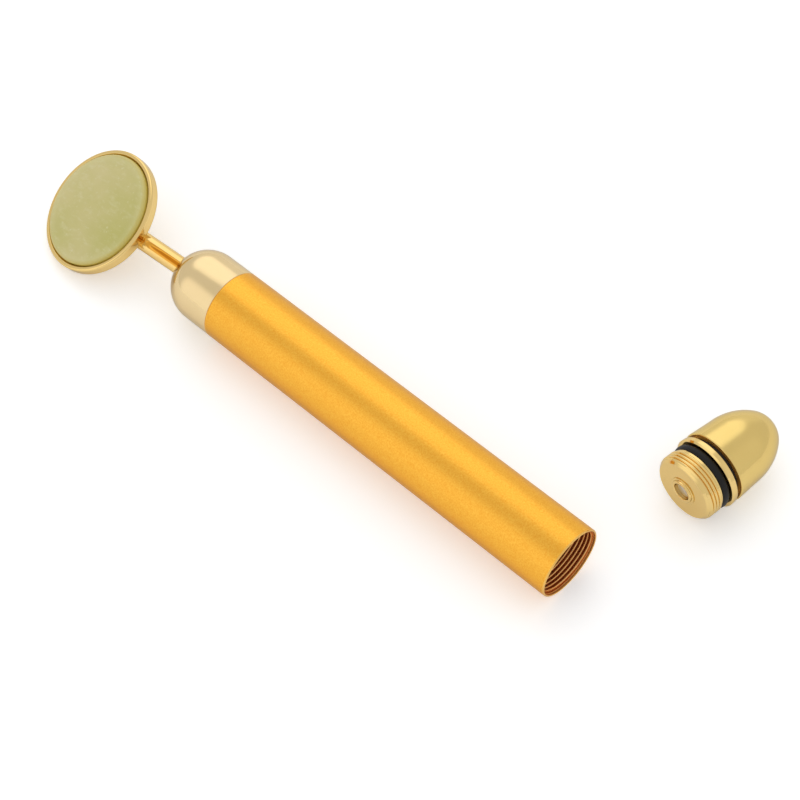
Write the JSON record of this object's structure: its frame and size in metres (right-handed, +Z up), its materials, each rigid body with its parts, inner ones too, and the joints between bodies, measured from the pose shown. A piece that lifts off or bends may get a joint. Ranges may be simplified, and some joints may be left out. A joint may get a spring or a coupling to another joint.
{
  "type": "facial massager",
  "caption": "Battery facial massager with a tilted round stone head on a slim neck, a straight tube handle and a threaded twist-switch tail cap lying beside it.",
  "frame": {"origin": "middle of the tube's open mouth, on its axis", "axes": "+X along the handle out of the mouth, +Y towards the side where the cap lies, +Z up from the floor"},
  "size_m": [0.1722, 0.0705, 0.0175],
  "materials": {
    "satin_gold": "satin sand-blasted, gold anodised",
    "polished_gold": "polished gold plate",
    "jade": "polished",
    "seal_rubber": "matte",
    "nickel": "nickel plated",
    "white_nylon": "matte",
    "black_plastic": "matte",
    "board": "resin-bonded paper",
    "contact_brass": "bright",
    "spring_steel": "drawn wire",
    "can_steel": "zinc plated",
    "ferrite": "pressed ferrite",
    "winding": "varnished copper on iron",
    "weight_metal": "turned",
    "cell_sleeve": "plain dark sleeve"
  },
  "bodies": {
    "handle": {"handle_tube": "satin_gold", "front_dome": "polished_gold", "head_stem": "polished_gold", "disc_bezel": "polished_gold", "jade_disc": "jade", "front_spring": "spring_steel", "contact_rivet": "contact_brass", "contact_board": "board", "motor_holder": "black_plastic", "motor_can": "can_steel", "ring_magnet": "ferrite", "motor_end_bell": "black_plastic", "motor_bush": "contact_brass", "motor_tabs": "contact_brass", "positive_strip": "contact_brass", "ground_strip": "contact_brass", "cap_plug": "polished_gold", "o_ring": "seal_rubber", "contact_bush": "white_nylon", "turn_washer": "black_plastic", "contact_eyelet": "polished_gold", "contact_core": "nickel", "switch_spring": "spring_steel", "retaining_clip": "spring_steel"},
    "motor_rotor": {"motor_shaft": "spring_steel", "rotor_core": "winding", "commutator": "contact_brass", "eccentric_weight": "weight_metal"},
    "battery": {"battery_can": "cell_sleeve", "battery_button": "nickel", "battery_washer": "white_nylon"},
    "twist_dome": {"tail_dome": "polished_gold", "switch_plate": "contact_brass"}
  },
  "joints": [
    {"name": "switch_twist", "type": "hinge", "parent": "handle", "child": "twist_dome", "pos_m": [0.00608, 0.0293, 0], "axis": [0.123, 0.9924, 0], "range_deg": [0, 90]},
    {"name": "motor_spin", "type": "hinge", "parent": "handle", "child": "motor_rotor", "pos_m": [-0.07639, 0, 0], "axis": [1, 0, 0], "continuous": true},
    {"name": "battery_press", "type": "slide", "parent": "handle", "child": "battery", "axis": [-1, 0, 0], "range_m": [0, 0.0015], "stiffness_N_per_m": 900, "deforming": ["front_spring"]}
  ]
}
